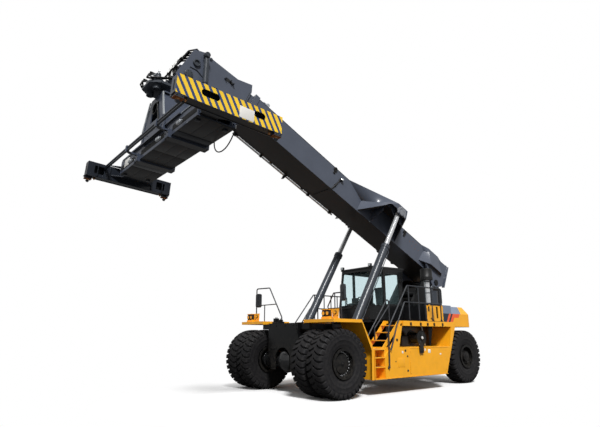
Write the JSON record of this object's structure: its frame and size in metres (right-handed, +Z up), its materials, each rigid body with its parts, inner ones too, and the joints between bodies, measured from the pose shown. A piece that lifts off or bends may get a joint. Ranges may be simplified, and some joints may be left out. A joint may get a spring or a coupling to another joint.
{
  "type": "reach stacker",
  "caption": "Wheeled container handler with a telescopic lifting boom over the cab, twin front tyres, rear steering, a counterweight and a slewing, extending top-lift spreader.",
  "frame": {"origin": "centre of the machine's box at the ground under the tyres", "axes": "+X the way the boom points and the machine drives forwards, +Y its left, +Z up"},
  "size_m": [12.0688, 6, 8.702],
  "materials": {
    "dark_paint": "satin",
    "boom_paint": "satin",
    "yellow_paint": "gloss",
    "black_paint": "satin",
    "cast": "painted",
    "chrome": "polished",
    "tyre": "matt",
    "window": "clear",
    "moulding": "moulded",
    "upholstery": "woven",
    "silver_steel": "brushed"
  },
  "bodies": {
    "chassis": {"chassis_frame": "dark_paint", "boom_towers": "dark_paint", "deck": "yellow_paint", "front_axle": "dark_paint", "rear_axle": "dark_paint", "left_fender": "yellow_paint", "right_fender": "yellow_paint", "left_skirt": "yellow_paint", "right_skirt": "yellow_paint", "ladders": "yellow_paint", "handrails": "black_paint", "counterweight": "cast", "engine_block": "cast", "left_engine_cover": "black_paint", "right_engine_cover": "black_paint", "exhaust": "silver_steel", "air_canister": "moulding", "cab_frame": "black_paint", "cab_roof": "black_paint", "cab_glass": "window", "seat": "upholstery", "console": "moulding", "headlamps": "moulding", "mirrors": "black_paint", "left_hose_drum": "silver_steel", "right_hose_drum": "silver_steel"},
    "front_left_wheels": {"front_left_tyres": "tyre", "front_left_rims": "black_paint"},
    "front_right_wheels": {"front_right_tyres": "tyre", "front_right_rims": "black_paint"},
    "left_knuckle": {"rear_left_knuckle": "dark_paint"},
    "right_knuckle": {"rear_right_knuckle": "dark_paint"},
    "rear_left_wheel": {"rear_left_tyre": "tyre", "rear_left_rim": "black_paint"},
    "rear_right_wheel": {"rear_right_tyre": "tyre", "rear_right_rim": "black_paint"},
    "boom": {"outer_boom": "boom_paint", "boom_pipes": "silver_steel"},
    "telescope": {"inner_boom": "boom_paint"},
    "lift_barrels": {"left_lift_barrel": "dark_paint", "right_lift_barrel": "dark_paint"},
    "lift_rods": {"left_lift_rod": "chrome", "right_lift_rod": "chrome"},
    "damper_barrels": {"damper_barrels": "dark_paint"},
    "damper_rods": {"damper_rods": "chrome"},
    "yoke": {"tilt_yoke": "dark_paint"},
    "carriage": {"rotator": "boom_paint"},
    "spreader": {"spreader_frame": "boom_paint", "sleeve_hose": "moulding"},
    "left_arm": {"left_end_beam": "boom_paint"},
    "right_arm": {"right_end_beam": "boom_paint"},
    "cab_door": {"cab_door": "black_paint", "door_glass": "window"},
    "left_engine_door": {"left_engine_door": "yellow_paint"},
    "right_engine_door": {"right_engine_door": "yellow_paint"}
  },
  "joints": [
    {"name": "front_left_roll", "type": "hinge", "parent": "chassis", "child": "front_left_wheels", "pos_m": [0.95, 1.535, 0.82], "axis": [0, 1, 0], "continuous": true},
    {"name": "front_right_roll", "type": "hinge", "parent": "chassis", "child": "front_right_wheels", "pos_m": [0.95, -1.535, 0.82], "axis": [0, 1, 0], "continuous": true},
    {"name": "steer_left", "type": "hinge", "parent": "chassis", "child": "left_knuckle", "pos_m": [-5.05, 1.1, 0.82], "axis": [0, 0, 1], "range_deg": [-50, 50]},
    {"name": "steer_right", "type": "hinge", "parent": "chassis", "child": "right_knuckle", "pos_m": [-5.05, -1.1, 0.82], "axis": [0, 0, 1], "range_deg": [-50, 50]},
    {"name": "rear_left_roll", "type": "hinge", "parent": "left_knuckle", "child": "rear_left_wheel", "pos_m": [-5.05, 1.39, 0.82], "axis": [0, 1, 0], "continuous": true},
    {"name": "rear_right_roll", "type": "hinge", "parent": "right_knuckle", "child": "rear_right_wheel", "pos_m": [-5.05, -1.39, 0.82], "axis": [0, 1, 0], "continuous": true},
    {"name": "boom_lift", "type": "hinge", "parent": "chassis", "child": "boom", "pos_m": [-5.1, 0, 3.29], "axis": [0, -1, 0], "range_deg": [-21, 35]},
    {"name": "telescope_slide", "type": "slide", "parent": "boom", "child": "telescope", "axis": [0.9056, 0, 0.4242], "range_m": [0, 6.9]},
    {"name": "lift_barrel_swing", "type": "hinge", "parent": "chassis", "child": "lift_barrels", "pos_m": [-0.14, 0, 1.2], "axis": [0, -1, 0], "range_deg": [-3.15, 5.25]},
    {"name": "lift_rod_slide", "type": "slide", "parent": "lift_barrels", "child": "lift_rods", "axis": [-0.5232, 0, 0.8522], "range_m": [-1.1729, 1.9548]},
    {"name": "head_tilt", "type": "hinge", "parent": "telescope", "child": "yoke", "pos_m": [4.66742, 0, 7.89852], "axis": [0, 1, 0], "range_deg": [-21, 35]},
    {"name": "damper_barrel_swing", "type": "hinge", "parent": "telescope", "child": "damper_barrels", "pos_m": [4.24541, 0, 8.54009], "axis": [0, 1, 0], "range_deg": [-9.83, 16.39]},
    {"name": "damper_rod_slide", "type": "slide", "parent": "damper_barrels", "child": "damper_rods", "axis": [0.0147, 0, -0.9999], "range_m": [-0.281, 0.1686]},
    {"name": "slew", "type": "hinge", "parent": "yoke", "child": "carriage", "pos_m": [4.66742, 0, 7.89852], "axis": [-0.0597, 0, 0.9982], "range_deg": [-105, 195]},
    {"name": "side_shift", "type": "slide", "parent": "carriage", "child": "spreader", "axis": [0, 1, 0], "range_m": [-0.8, 0.8]},
    {"name": "left_extend", "type": "slide", "parent": "spreader", "child": "left_arm", "axis": [0, 1, 0], "range_m": [0, 3.067]},
    {"name": "right_extend", "type": "slide", "parent": "spreader", "child": "right_arm", "axis": [0, -1, 0], "range_m": [0, 3.067]},
    {"name": "cab_door_swing", "type": "hinge", "parent": "chassis", "child": "cab_door", "pos_m": [-3.07, 0.682, 2.7], "axis": [0, 0, 1], "range_deg": [0, 80]},
    {"name": "left_engine_door_lift", "type": "hinge", "parent": "chassis", "child": "left_engine_door", "pos_m": [-3.96, 1.52, 2.398], "axis": [1, 0, 0], "range_deg": [0, 80]},
    {"name": "right_engine_door_lift", "type": "hinge", "parent": "chassis", "child": "right_engine_door", "pos_m": [-3.96, -1.52, 2.398], "axis": [-1, 0, 0], "range_deg": [0, 80]}
  ],
  "couplings": [
    {"joint": "steer_right", "follows": "steer_left", "ratio": 1},
    {"joint": "lift_barrel_swing", "follows": "boom_lift", "ratio": 0.15},
    {"joint": "lift_rod_slide", "follows": "boom_lift", "m_per_rad": 3.2},
    {"joint": "damper_barrel_swing", "follows": "head_tilt", "ratio": 0.468},
    {"joint": "damper_rod_slide", "follows": "head_tilt", "m_per_rad": -0.46},
    {"joint": "right_extend", "follows": "left_extend", "ratio": 1}
  ]
}
